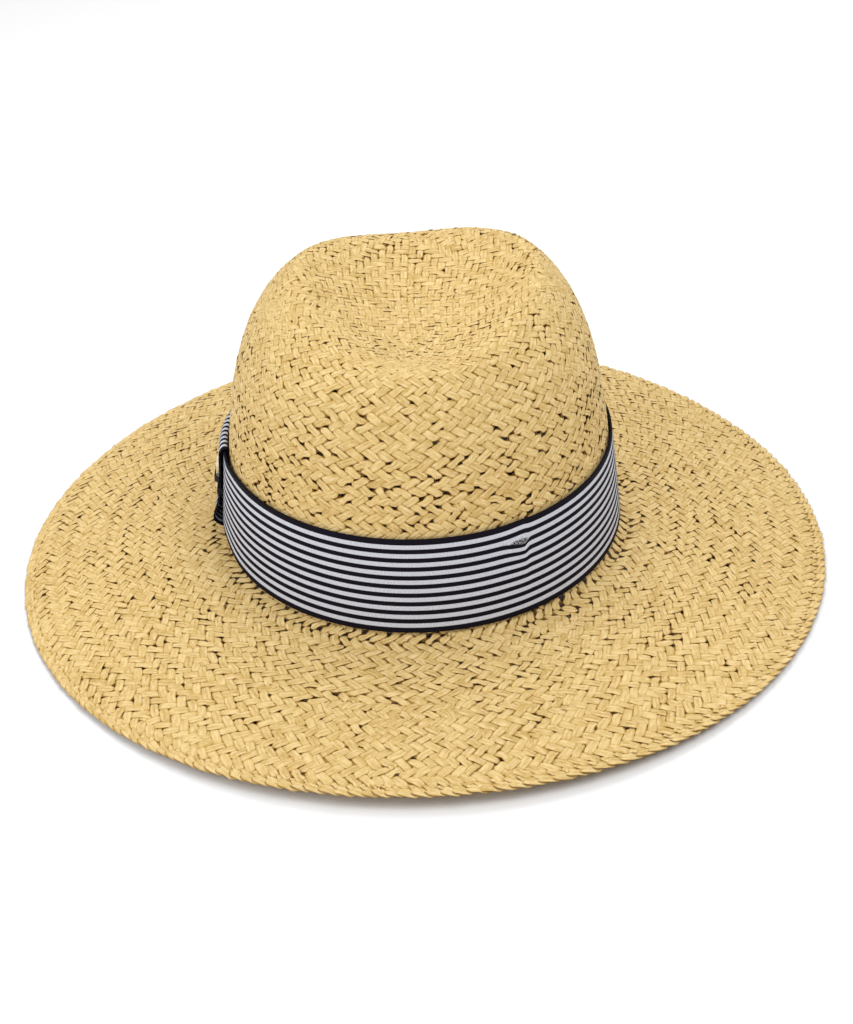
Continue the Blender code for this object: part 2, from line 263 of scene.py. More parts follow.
# Dark threads of the snag: an oval of specks, and a faint line to its left
SPECKS_LEFT = 2.6
SPECKS_SLOPE = 0.05
SPECKS_LENGTH = 4.4
SPECKS_HEIGHT = 1.25
LINE_LEFT = 9.5
LINE_SLOPE = 0.12
LINE_HEIGHT = 32.36
LINE_LENGTH = 3.2
LINE_WIDTH = 0.35
LINE_STRENGTH = 0.45

# Studio: each light's place and power, their aim, and the pale surroundings
LIGHTS = {
    "front_right_light": ((0.5, -0.5, 1.25), 8.5),
    "back_light": ((0.1, 0.8, 1.2), 8.0),
    "left_light": ((-1.2, -0.3, 0.7), 5.3),
    "front_left_light": ((-0.7, -1.0, 0.8), 3.6),
}
LIGHT_AIM = (0, 0, 0.05)
SURROUNDINGS = 0.44

# Camera: matched to the photo's outline
CAMERA_DISTANCE = 0.9
CAMERA_ELEVATION = 30.1
CAMERA_ROLL = -2.7
FOCAL_PIXELS = 2048.4
IMAGE_HEIGHT = 1024
SHIFT_RIGHT = 4.5
SHIFT_DOWN = -5.5


def taper_scale(height):
    """How far the oval has closed in at a height on the wall."""
    return 1 - height * tan(radians(WALL_TAPER)) / TAPER_REACH


def dome_height(angle):
    """Height of the open dome on one side of the crown."""
    height = DOME_HEIGHT + DOME_BACK_RISE * np.sin(angle) + DOME_RIGHT_RISE * np.cos(angle)
    return height + DOME_SIDE_RISE * np.cos(2 * angle) + DOME_LOBE_RISE * np.sin(3 * angle)


def dent_height(x, y):
    """Height of the dome's dent, which is narrower to the front."""
    across = x - DENT_X
    along = y - DENT_Y
    widening = 1 + DENT_WIDENING * along / DENT_WIDENING_REACH
    radius = np.maximum(DENT_LEAST_RADIUS, DENT_RADIUS_ACROSS * widening)
    return DENT_FLOOR + across * across / (2 * radius) + along * along / (2 * DENT_RADIUS_ALONG)


def soft_minimum(first, second, softness):
    """The lower of two heights, with a rounded crease between."""
    share = np.clip(0.5 + 0.5 * (second - first) / softness, 0, 1)
    return second * (1 - share) + first * share - softness * share * (1 - share)


def rise_at_height(height):
    """Rise at which the dome's wall has a height."""
    return np.arcsin((height / DOME_HEIGHT) ** (DOME_WALL_POWER / 2)) / (pi / 2)


def rise_at_radius(radius):
    """Rise at which the dome has closed to a share of its oval."""
    return np.arccos(radius ** (DOME_PLAN_POWER / 2)) / (pi / 2)


def crown_places(angle, rise):
    """Places on the crown; rise runs from 0 at the break to 1 at the tip."""
    plan = np.cos(rise * pi / 2) ** (2 / DOME_PLAN_POWER)
    height = dome_height(angle) * np.sin(rise * pi / 2) ** (2 / DOME_WALL_POWER)
    scale = plan * taper_scale(height)
    shift = np.clip(1 - (plan / START_SHIFT_REACH) ** 2, 0, 1) ** 2
    x = HALF_WIDTH * scale * np.cos(angle) + WEAVE_START_X * shift
    y = HALF_LENGTH * scale * np.sin(angle) + WEAVE_START_Y * shift
    return np.stack([x, y, soft_minimum(height, dent_height(x, y), RIDGE_SOFTNESS)], -1)


def oval_places(angle, outward, height, scale=1.0):
    """Places at a distance out from the head oval, or from a smaller one."""
    normal_x = HALF_LENGTH * np.cos(angle)
    normal_y = HALF_WIDTH * np.sin(angle)
    length = np.hypot(normal_x, normal_y)
    x = HALF_WIDTH * scale * np.cos(angle) + normal_x / length * outward
    y = HALF_LENGTH * scale * np.sin(angle) + normal_y / length * outward
    return np.stack([x, y, height + 0 * angle], -1)


def edge_height(angle):
    """Height of the brim's edge: low along both sides, higher front and back."""
    wave = -np.cos(2 * angle) + np.cos(4 * angle) / 4
    return -EDGE_DROP + EDGE_WAVE * wave


def brim_places(angle, way):
    """Places on the brim; way runs from 0 at the break to 1 at the edge."""
    edge = edge_height(angle)
    reach = np.sqrt(BRIM_REACH ** 2 - (edge - BREAK_START + BREAK_RADIUS) ** 2)
    start = BREAK_START - BREAK_RADIUS
    outward = BREAK_RADIUS + (reach - BREAK_RADIUS) * way
    bend = BRIM_FIRST_SLOPE * way + (1 - BRIM_FIRST_SLOPE) * way * way
    return oval_places(angle, outward, start + (edge - start) * bend)


def break_places(angle, turn):
    """Places on the rounded break; turn runs from 0 at the wall to 1 at the brim."""
    outward = BREAK_RADIUS * (1 - np.cos(turn * pi / 2))
    return oval_places(angle, outward, BREAK_START - BREAK_RADIUS * np.sin(turn * pi / 2))


def oval_angles(count):
    """Angles that part the head oval into equal lengths."""
    fine = np.linspace(0, 2 * pi, OVAL_SAMPLES)
    lengths = path_lengths(oval_places(fine, 0, 0))
    return np.interp(np.arange(count) / count * lengths[-1], lengths, fine)


def table_value(place, table):
    """Value at a place, from a table of places and their values."""
    return np.interp(place, *zip(*table))


def row_shares(count, pitches):
    """Share of the way at which each half row lies, for a table of row pitches."""
    steps = table_value((np.arange(2 * count) + 0.5) / 2, pitches)
    shares = np.concatenate([[0], np.cumsum(steps)])
    return shares / shares[-1]


def unit(vectors):
    """Vectors at a length of 1."""
    return vectors / np.linalg.norm(vectors, axis=-1, keepdims=True)


class HatSurface:
    """The hat's outside, by share of the way round and row of the weave."""

    def __init__(self):
        self.angles = oval_angles(ROUND_SAMPLES)
        paths, crown_lengths = self.meridians()
        self.lay_rows(paths, crown_lengths)

    def meridians(self):
        """Fine paths from the tip to the edge, and their lengths down to the break."""
        tip_rises = rise_at_radius(np.linspace(0, TIP_REACH, TIP_STEPS))
        shoulder = DOME_HEIGHT * sin(tip_rises[-1] * pi / 2) ** (2 / DOME_WALL_POWER)
        heights = np.linspace(shoulder - SHOULDER_STEP, BREAK_START, WALL_STEPS)
        rises = np.concatenate([tip_rises, rise_at_height(heights)])
        angle = self.angles[:, None]
        crown = crown_places(angle, rises[None, :])
        turn = break_places(angle, np.linspace(1 / BREAK_STEPS, 1, BREAK_STEPS)[None, :])
        brim = brim_places(angle, np.linspace(1 / BRIM_STEPS, 1, BRIM_STEPS)[None, :])
        paths = np.concatenate([crown, turn, brim], 1)
        steps = np.linalg.norm(np.diff(paths, axis=1), axis=2)
        self.lengths = np.concatenate([np.zeros((len(steps), 1)), np.cumsum(steps, 1)], 1)
        return paths, self.lengths[:, len(rises) + BREAK_STEPS // 2]

    def lay_rows(self, paths, crown_lengths):
        """Places and normals on each half row of the weave."""
        across = HALF_WIDTH * np.cos(self.angles)[:, None]
        along = HALF_LENGTH * np.sin(self.angles)[:, None]
        square = (np.abs(across) + np.abs(along)) / np.hypot(across, along)
        starts = crown_lengths[:, None]
        ends = self.lengths[:, -1:]
        crown = starts * row_shares(CROWN_ROWS, CROWN_ROW_PITCHES)
        rows = np.arange(crown.shape[1]) / 2
        squareness = np.clip((SQUARE_END_ROW - rows) / (SQUARE_END_ROW - START_ROWS), 0, 1)
        squareness = squareness * squareness * (3 - 2 * squareness)
        crown = crown + (START_PITCH * rows / square - crown) * squareness
        brim_shares = row_shares(LAST_ROW - CROWN_ROWS, BRIM_ROW_PITCHES)[1:]
        brim = starts + (ends - TURN_LENGTH - starts) * brim_shares
        table = np.concatenate([crown, brim, ends - TURN_INSETS], 1)
        self.places = np.empty((*table.shape, 3))
        for index in range(ROUND_SAMPLES):
            for axis in range(3):
                path = paths[index, :, axis]
                self.places[index, :, axis] = np.interp(table[index], self.lengths[index], path)
        around = np.roll(self.places, -NORMAL_REACH, 0) - np.roll(self.places, NORMAL_REACH, 0)
        down = np.gradient(self.places, axis=1)
        normals = np.cross(down, around)
        size = np.linalg.norm(normals, axis=2, keepdims=True)
        self.normals = normals / np.maximum(size, 1e-9)
        self.normals[:, 0] = self.normals[:, 1].mean(0)

    def at(self, round_share, row):
        """Places and normals at shares of the way round and at rows."""
        place = np.mod(round_share, 1) * ROUND_SAMPLES
        low = np.floor(place).astype(int) % ROUND_SAMPLES
        high = (low + 1) % ROUND_SAMPLES
        part = (place - np.floor(place))[..., None]
        half = np.clip(np.asarray(row) * 2.0, 0, self.places.shape[1] - 1)
        above = np.minimum(np.floor(half).astype(int), self.places.shape[1] - 2)
        down = (half - above)[..., None]
        found = []
        for table in (self.places, self.normals):
            upper = table[low, above] * (1 - part) + table[high, above] * part
            lower = table[low, above + 1] * (1 - part) + table[high, above + 1] * part
            found.append(upper * (1 - down) + lower * down)
        return found[0], unit(found[1])


def start_shares(row, angles):
    """Where the crossings of a square row lie round the tip."""
    along = 0.5 + np.arange(row)
    direction = (np.arctan2(along, row - along) + np.arange(4)[:, None] * pi / 2).ravel()
    angle = np.arctan2(HALF_WIDTH * np.sin(direction), HALF_LENGTH * np.cos(direction))
    return np.interp(angle % (2 * pi), angles, np.arange(len(angles)) / len(angles))


def row_pitch(row):
    """Distance from a row to the next one."""
    if row <= CROWN_ROWS:
        return float(table_value(row, CROWN_ROW_PITCHES))
    return float(table_value(row - CROWN_ROWS, BRIM_ROW_PITCHES))


def wanted_spacing(row):
    """Distance between crossings along a row at which strips lie side by side."""
    drop = 2 * row_pitch(row)
    steepness = (drop / table_value(row, STRIP_PITCHES)) ** 2 - 1
    spacing = drop / sqrt(max(steepness, LEAST_STEEPNESS))
    if row > CROWN_ROWS:
        return max(spacing, BREAK_SPACING)
    nearness = np.clip(1 - (CROWN_ROWS - row) / BREAK_INCREASE_ROWS, 0, 1)
    return spacing + (BREAK_SPACING - spacing) * nearness


def widest_gaps(gaps, count, chance):
    """Gaps that take a new strip: the widest, with none beside another."""
    order = np.argsort(-gaps * (1 + CHOICE_WANDER * chance.random(len(gaps))))
    taken = []
    for index in order:
        if len(taken) >= count:
            break
        beside = {(index - 1) % len(gaps), (index + 1) % len(gaps)}
        if not beside & set(taken):
            taken.append(int(index))
    return set(taken)


def noise_waves(scale, chance):
    """Waves in all directions that make a slow noise."""
    waves = []
    for number in range(SLACK_WAVES):
        direction = chance.normal(0, 1, 3)
        direction *= 2 * pi / scale / np.linalg.norm(direction)
        waves.append((direction, chance.random() * 2 * pi))
    return waves


def noise_at(places, waves):
    """Noise from about -1 to 1 at places on the hat."""
    total = sum(np.sin(places @ direction + start) for direction, start in waves)
    return total / sqrt(len(waves))


def steps_round(spots):
    """Distance from each spot of a ring to the next one."""
    return np.linalg.norm(np.roll(spots, -1, 0) - spots, axis=1)


def shares_apart(first, second):
    """Distance between two shares of the way round, by the shorter way."""
    return np.abs((first - second + 0.5) % 1 - 0.5)


def new_strip(halves, row):
    """Starts a strip in a row: two halves that run down to either side."""
    for way in (-1, 1):
        half = {key: [] for key in CROSSING_KEYS}
        halves.append({"row": row, "way": way, **half})
    return len(halves) - 2, len(halves) - 1


def row_openings(row, spots, slackness, chance):
    """Size of the opening beside each crossing of a row; most have none."""
    slack = 0.5 + 0.25 * sum(noise_at(spots, waves) for waves in slackness)
    open_share = table_value(row, GAP_SHARES) * np.clip(2 * slack, *SLACK_LIMITS)
    opening = np.clip(1 - chance.random(len(spots)) / open_share, 0, 1) ** 0.5
    return opening * table_value(row, GAP_SIZES)


def cross_strips(row, shares, pairs, surface, slackness, chance):
    """Notes a row's crossings on the two strips of each, and returns their openings."""
    spots = surface.at(shares, np.full(len(shares), row))[0]
    spacing = steps_round(spots).mean()
    drop = row_pitch(row)
    pitch = 2 * drop / sqrt(1 + (2 * drop / spacing) ** 2)
    width = START_PITCH if row <= START_ROWS else min(pitch, STRIP_WIDTH)
    wander = chance.normal(0, ROW_WANDER if row > STEADY_ROWS else 0, len(shares))
    lean = (spacing ** 2 / 4 - drop ** 2) / (spacing * drop)
    lean = np.clip(lean, -LARGEST_LEAN, LARGEST_LEAN)
    openings = row_openings(row, spots, slackness, chance)
    for index, pair in enumerate(pairs):
        crossing = (shares[index], wander[index], width, openings[index], 0.0, lean)
        for half in pair:
            for key, value in zip(CROSSING_KEYS, crossing):
                half[key].append(value)
    return openings


def share_openings(past_rows):
    """Tells plain strips of openings: an even row's of those two rows below, an odd row's above."""
    if len(past_rows) < 3:
        return
    older, newer = past_rows[-3], past_rows[-1]
    told, teller = (newer, older) if newer[0] % 2 else (older, newer)
    row, shares, unused, pairs = told
    apart = shares_apart(shares[:, None], teller[1][None, :])
    nearest = apart.argmin(axis=1)
    close = apart.min(axis=1) < SAME_PLACE / len(shares)
    for pair, openness in zip(pairs, np.where(close, teller[2][nearest], 0)):
        for half in pair:
            half["others"][row - half["row"]] = openness


def next_crossings(row, shares, ahead, back, halves, surface, chance):
    """Crossings of the next row: between those above it, and two where a strip starts."""
    count = len(shares)
    gaps = np.mod(np.roll(shares, -1) - shares, 1)
    if row <= START_ROWS:
        chosen = {index for index in range(count) if index % (row - 1) == 0}
    else:
        widths = steps_round(surface.at(shares, np.full(count, row))[0])
        extra = int(widths.sum() / wanted_spacing(row) - count)
        chosen = widest_gaps(widths, max(extra, 0), chance)
    crossings = []
    for index in range(count):
        near, far = ahead[index], back[(index + 1) % count]
        found = [(0.5, near, far)]
        if index in chosen:
            down, up = new_strip(halves, row)
            found = [(0.3, near, down), (0.7, up, far)]
        crossings += [(shares[index] + gaps[index] * part, *pair) for part, *pair in found]
    new_shares, new_ahead, new_back = zip(*crossings)
    return np.mod(new_shares, 1), new_ahead, new_back


def settled_shares(row, shares, surface, chance):
    """Crossings moved to exact places in the square rows, and only eased after them."""
    if row <= START_ROWS:
        exact = np.sort(start_shares(row, surface.angles))
        return np.roll(exact, -int(np.argmin(shares_apart(exact, shares[0]))))
    gaps = np.mod(np.roll(shares, -1) - shares, 1)
    ease = CROSSING_EASE * (gaps - np.roll(gaps, 1)) / 2
    wander = CROSSING_WANDER / wanted_spacing(row) / len(shares)
    return np.mod(shares + ease + chance.normal(0, wander, len(shares)), 1)


def plan_weave(surface, chance):
    """Rows of crossings from the tip to the edge, and the two halves of every strip."""
    halves = []
    slackness = [noise_waves(scale, chance) for scale in SLACK_SCALES]
    corners = [new_strip(halves, 1) for side in range(4)]
    shares = start_shares(1, surface.angles)
    ahead = [up for down, up in corners]
    back = [down for down, up in corners[1:] + corners[:1]]
    past_rows = []
    for row in range(1, LAST_ROW + 1):
        if row > 1:
            shares, ahead, back = next_crossings(row, shares, ahead, back, halves, surface, chance)
            shares = settled_shares(row, shares, surface, chance)
        pairs = [(halves[one], halves[other]) for one, other in zip(ahead, back)]
        openings = cross_strips(row, shares, pairs, surface, slackness, chance)
        past_rows.append((row, shares, openings, pairs))
        share_openings(past_rows)
    return halves, shares, ahead


def strip_paths(halves, shares, ahead):
    """Points of each strip, from the brim's edge up to its fold and on round the edge."""
    gaps = np.mod(np.roll(shares, -1) - shares, 1)
    edge_shares = dict(zip(ahead, zip(shares, shares + gaps + np.roll(gaps, -1))))
    paths = []
    for first in range(0, len(halves), 2):
        sides = []
        for half in halves[first:first + 2]:
            around, drops, *rest = (np.array(half[key]) for key in CROSSING_KEYS)
            around = np.unwrap(around * 2 * pi) / (2 * pi)
            rows = half["row"] + np.arange(len(around))
            rises = np.where(rows % 4 < 2, 1.0, -1.0) * half["way"] * STRIP_RISE
            sides.append([around, rows + drops, rises, *rest, rows])
        left, right = sides
        right[0] = right[0] + round(left[0][0] - right[0][0])
        whole = [np.concatenate([a[::-1], b]) for a, b in zip(left, right)]
        path = between_crossings(whole, len(left[0]), halves[first]["row"])
        near, far = edge_shares[first + 1]
        turns = round(right[0][-1] - near)
        path += edge_turn(near + turns, far + turns, whole[WIDTH][-1])
        paths.append(np.array(path))
    return paths


def between_crossings(whole, start, row):
    """Points along a strip: the middle of each float, its ends, and the change between two."""
    shares, rows, rises, widths, gaps, others, leans, numbers = whole
    count = len(shares)
    points = np.column_stack([shares, rows, rises, widths, np.zeros((count, 3))])
    path = []
    for index in range(count):
        after = index + 1
        if index in (0, start - 1, start, count - 1):
            path.append(points[index])
        if after == count:
            break
        ends = points[index:index + 2]
        middle = ends.mean(0)
        if after == start:
            middle[ROW] = row - 0.5
            path.append(middle)
            continue
        if index > 0 and index + 2 < count and abs(after - start) > 1:
            outer = shares[index - 1] + shares[index + 2]
            middle[SHARE] = (9 * (shares[index] + shares[after]) - outer) / 16
        onward = shares[after] > shares[index]
        downward = numbers[after] > numbers[index]
        middle[LEAN] = -leans[index] if onward == downward else leans[index]
        pair = [index, after] if (numbers[index] % 2 == 0) == onward else [after, index]
        if rises[index] * rises[after] > 0:
            middle[GAPS] = others[pair] * PLAIN_GAP
            path.append(middle)
            continue
        middle[GAPS] = gaps[pair[::-1]]
        flanks = ends + (middle - ends) * FLANK_SHARE
        flanks[:, RISE] = ends[:, RISE] * FLANK_RISE
        flanks[:, GAPS] = middle[GAPS] * FLANK_GAP
        flanks[:, LEAN] = middle[LEAN]
        path += [flanks[0], middle, flanks[1]]
    return path


def edge_turn(near, far, width):
    """Points that take a strip round the brim's edge to the underside."""
    cell = (far - near) / 2
    points = []
    for cells, rows, side, beyond in TURN_POINTS:
        rise = side * STRIP_RISE + beyond
        points.append((near + cells * cell, LAST_ROW + rows, rise, width, 0, 0, 0))
    return points + [(far, LAST_ROW, -STRIP_RISE, width, 0, 0, 0)]


def strip_sections(surface, paths, chance):
    """Centres, frames and sizes of all sections of all strips."""
    rows = np.concatenate(paths)
    count = len(rows)
    strip = np.repeat(np.arange(len(paths)), [len(path) for path in paths])
    spots, normals = surface.at(rows[:, SHARE], rows[:, ROW])
    scatter = chance.normal(0, HEIGHT_WANDER, count)
    centres = spots + normals * (rows[:, RISE] + scatter - WEAVE_DEPTH)[:, None]
    same = strip[1:] == strip[:-1]
    before = np.where(np.append(False, same)[:, None], np.roll(centres, 1, 0), centres)
    after = np.where(np.append(same, False)[:, None], np.roll(centres, -1, 0), centres)
    along = unit(after - before)
    side = unit(np.cross(along, normals))
    up = np.cross(side, along)
    tilt = np.radians(chance.normal(0, TILT_WANDER, count))[:, None]
    side, up = side * np.cos(tilt) + up * np.sin(tilt), up * np.cos(tilt) - side * np.sin(tilt)
    plus_gap, minus_gap = rows[:, GAPS].T
    shift = chance.normal(0, SIDE_WANDER, count) + (minus_gap - plus_gap) / 2
    centres = centres + side * shift[:, None]
    own = chance.normal(STRIP_FULLNESS, FULLNESS_WANDER, len(paths))[strip]
    width = rows[:, WIDTH] * (own + chance.normal(0, SECTION_WANDER, count))
    width = np.maximum(width - plus_gap - minus_gap, NARROWEST_STRIP)
    lean = along * rows[:, LEAN:]
    return rows, strip, centres, side + lean, up, width


def corner_shades(rows):
    """Painted shade at a section's five corners, by their depth in the weave: 0 on top, 1 below."""
    turned = rows[:, ROW] > LAST_ROW + TURN_MARGIN
    height = np.where(turned, 1, np.clip(rows[:, RISE] / STRIP_RISE, -1, 1))
    edge = table_value(height, EDGE_SHADES)
    ridge = table_value(height, RIDGE_SHADES)
    plus, minus = np.clip(rows[:, GAPS].T, 0, 1)
    sides = [edge + EDGE_GAP_SHADE * minus, ridge + RIDGE_GAP_SHADE * minus]
    sides += [ridge + RIDGE_GAP_SHADE * plus, edge + EDGE_GAP_SHADE * plus]
    return np.clip(np.stack([*sides, BELLY_SHADE + BELLY_SHADE * height], 1), 0, 1)


def add_object(name, data):
    """Adds an object to the scene."""
    item = bpy.data.objects.new(name, data)
    bpy.context.scene.collection.objects.link(item)
    return item


def set_map(mesh, layer, places):
    """Gives each face corner its vertex's place on a map."""
    vertex = np.empty(len(mesh.loops), np.int32)
    mesh.loops.foreach_get("vertex_index", vertex)
    layer.uv.foreach_set("vector", places[vertex].ravel())


def set_numbers(mesh, name, values):
    """Gives each vertex a number that a material reads."""
    mesh.attributes.new(name, "FLOAT", "POINT").data.foreach_set("value", values)


def strip_mesh(name, sections, first_row, end_row, tones):
    """A piece of the weave: all strips between two rows, closed at their ends."""
    rows, strip, centres, side, up, width = sections
    middle = (rows[1:, ROW] + rows[:-1, ROW]) / 2
    same = strip[1:] == strip[:-1]
    joined = same & (middle > first_row) & (middle < end_row)
    used = np.append(joined, False) | np.append(False, joined)
    width = width[:, None]
    profile = [centres + side * (width * share) + up * rise for share, rise in STRIP_PROFILE]
    points = np.stack(profile, 1)[used].reshape(-1, 3) * MM
    points[:, 2] += BREAK_HEIGHT * MM
    corners = len(profile)
    number = ((np.cumsum(used) - 1) * corners)[:, None]
    starts = np.nonzero(joined)[0]
    here, there = number[starts], number[starts + 1]
    step = np.arange(corners)
    after = (step + 1) % corners
    quads = np.stack([here + step, here + after, there + after, there + step], 2).reshape(-1, 4)
    opens = np.nonzero(joined & ~np.append(False, joined[:-1]))[0]
    closes = np.nonzero(joined & ~np.append(joined[1:], False))[0] + 1
    caps = (number[opens] + step[::-1]).tolist() + (number[closes] + step).tolist()
    mesh = bpy.data.meshes.new(name)
    mesh.from_pydata(points, [], quads.tolist() + caps)
    run = np.linalg.norm(np.diff(centres, axis=0, prepend=centres[:1]), axis=1)
    run[~np.append(False, same)] = 0
    along = np.repeat(np.cumsum(run)[used], corners)
    across = np.tile(STRIP_ACROSS, int(used.sum()))
    set_map(mesh, mesh.uv_layers.new(name="strip"), np.stack([along, across], 1))
    set_numbers(mesh, "tone", np.repeat(tones[strip][used], corners))
    # Painted shade of each corner, read by the straw's material
    set_numbers(mesh, "weave_shade", corner_shades(rows[used]).ravel())
    mesh.shade_smooth()
    mesh.set_sharp_from_angle(angle=radians(SMOOTH_ANGLE))
    return add_object(name, mesh)


def wall_scale(height):
    """How far the oval of the crown's wall has closed in at a height."""
    plan = np.cos(rise_at_height(height) * pi / 2) ** (2 / DOME_PLAN_POWER)
    return taper_scale(height) * plan


def band_places(angle, height, outward):
    """Places at a distance out from the straw's wall."""
    return oval_places(angle, outward, height, wall_scale(height))


def hump(distance, reach):
    """1 at no distance, and fading smoothly to 0 beyond a reach."""
    return np.exp(-(distance / reach) ** 2)


def gathering(angle, amount, fade):
    """How far the tab's loop moves the band, fading out to both sides."""
    along = HALF_LENGTH * wall_scale(BAND_HEIGHT / 2) * np.sin(angle)
    beyond = np.maximum(TAB_FRONT - along, along - TAB_FRONT - TAB_WIDTH) - GATHER_MARGIN
    return amount * hump(np.maximum(beyond, 0), fade) * (np.cos(angle) < 0)


def side_places(along, height, outward):
    """Places at a distance out from the band on the tab's side of the hat."""
    scale = wall_scale(height)
    face = FIT_GAP + BAND_THICKNESS
    half_width = HALF_WIDTH * scale + face
    half_length = HALF_LENGTH * scale + face
    across = -half_width * np.sqrt(1 - (along / half_length) ** 2)
    normal_x = across / half_width ** 2
    normal_y = along / half_length ** 2
    length = np.hypot(normal_x, normal_y)
    x = across + normal_x / length * outward
    y = along + normal_y / length * outward
    return np.stack([x, y, height + 0 * along], -1)


def path_lengths(points):
    """Distance of each point of a path from its start."""
    steps = np.linalg.norm(np.diff(points, axis=0), axis=1)
    return np.concatenate([[0], np.cumsum(steps)])


def smooth_loop(points, steps):
    """Closed smooth curve through points, ending where it starts."""
    p0, p1 = np.roll(points, 1, 0)[:, None], points[:, None]
    p2, p3 = np.roll(points, -1, 0)[:, None], np.roll(points, -2, 0)[:, None]
    u = (np.arange(steps) / steps)[None, :, None]
    bend = 2 * p0 - 5 * p1 + 4 * p2 - p3
    twist = 3 * p1 - p0 - 3 * p2 + p3
    curve = np.concatenate(p1 + 0.5 * ((p2 - p0) * u + bend * u ** 2 + twist * u ** 3))
    return np.concatenate([curve, curve[:1]])


def eased_path(points, ease, step):
    """Path with rounded corners, and a point at about every step along it."""
    points = np.array(points)
    path = [points[0]]
    for before, corner, after in zip(points, points[1:], points[2:]):
        cuts = []
        for other in (before, after):
            way = other - corner
            size = np.linalg.norm(way)
            cuts.append(corner + way / size * min(ease, size * 0.45))
        for u in np.linspace(0, 1, 5):
            path.append(cuts[0] * (1 - u) ** 2 + corner * 2 * u * (1 - u) + cuts[1] * u ** 2)
    path = np.array([*path, points[-1]])
    lengths = path_lengths(path)
    spots = np.linspace(0, lengths[-1], int(lengths[-1] / step) + 1)
    return np.stack([np.interp(spots, lengths, column) for column in path.T], 1)


def wrapped_sheet(name, material, place, pattern, steps, thickness, offset=0.0, marks=None):
    """Flat grid wrapped to its form, joined where its ends meet, thickened and eased."""
    bpy.ops.mesh.primitive_grid_add(x_subdivisions=steps[0], y_subdivisions=steps[1], size=1)
    sheet = bpy.context.object
    sheet.name = name
    mesh = sheet.data
    mesh.name = name
    mesh.materials.append(material)
    flat = np.empty(len(mesh.vertices) * 3)
    mesh.vertices.foreach_get("co", flat)
    share, rise = flat.reshape(-1, 3)[:, :2].T + 0.5
    points = place(share, rise) * MM
    points[:, 2] += BREAK_HEIGHT * MM
    mesh.vertices.foreach_set("co", points.ravel())
    layer = mesh.uv_layers[0]
    layer.name = "ribbon"
    set_map(mesh, layer, pattern(share, rise))
    if marks is not None:
        set_numbers(mesh, "snag", marks(share, rise))
    bpy.ops.object.mode_set(mode="EDIT")
    bpy.ops.mesh.select_all(action="SELECT")
    bpy.ops.mesh.remove_doubles(threshold=0.01 * MM)
    bpy.ops.mesh.normals_make_consistent(inside=False)
    bpy.ops.object.mode_set(mode="OBJECT")
    wall = sheet.modifiers.new("thickness", "SOLIDIFY")
    wall.thickness = thickness * MM
    wall.offset = offset
    wall.use_even_offset = True
    eased = sheet.modifiers.new("eased_edges", "BEVEL")
    eased.limit_method = "ANGLE"
    eased.angle_limit = radians(60)
    eased.width = thickness * 0.3 * MM
    eased.segments = 2
    for modifier in ("thickness", "eased_edges"):
        bpy.ops.object.modifier_apply(modifier=modifier)
    bpy.ops.object.shade_smooth_by_angle(angle=radians(SMOOTH_ANGLE))
    return sheet


def snag_along(angle):
    """Distance along the band from the snag's tightest point."""
    turn = radians(SNAG_ANGLE)
    return (angle - turn) * np.hypot(HALF_WIDTH * sin(turn), HALF_LENGTH * cos(turn))


def snag_pull(along, reaches):
    """How strongly the snag acts at a distance along the band."""
    return hump(along, np.where(along < 0, *reaches))


def snagged_pattern(along, height):
    """Height on the unspoilt ribbon of the threads that now lie at a height."""
    pull = snag_pull(along, SNAG_REACHES)
    bottom, top = SNAG_STRETCH
    pattern = height.copy()
    for step in range(30):
        low = SNAG_PUSH_DOWN * np.exp(-np.maximum(bottom - pattern, 0) / SNAG_FADE)
        high = -SNAG_PUSH_UP * np.exp(-np.maximum(pattern - top, 0) / SNAG_FADE)
        share = np.clip((pattern - bottom) / (top - bottom), 0, 1)
        push = low * (1 - share) + high * share
        pattern += 0.4 * (height + pull * push - pattern)
    return pattern


def snag_marks(along, height):
    """Where dark threads show: an oval of specks, and a faint line to its left."""
    centre = along + SPECKS_LEFT
    rise = height - SNAG_HEIGHT - SPECKS_SLOPE * centre
    oval = 1.5 - (centre / SPECKS_LENGTH) ** 2 - (rise / SPECKS_HEIGHT) ** 2
    line_along = along + LINE_LEFT
    line_rise = height - LINE_HEIGHT + LINE_SLOPE * line_along
    line = hump(line_rise, LINE_WIDTH) * np.exp(-(line_along / LINE_LENGTH) ** 4)
    return np.maximum(np.clip(oval, 0, 1), LINE_STRENGTH * line)


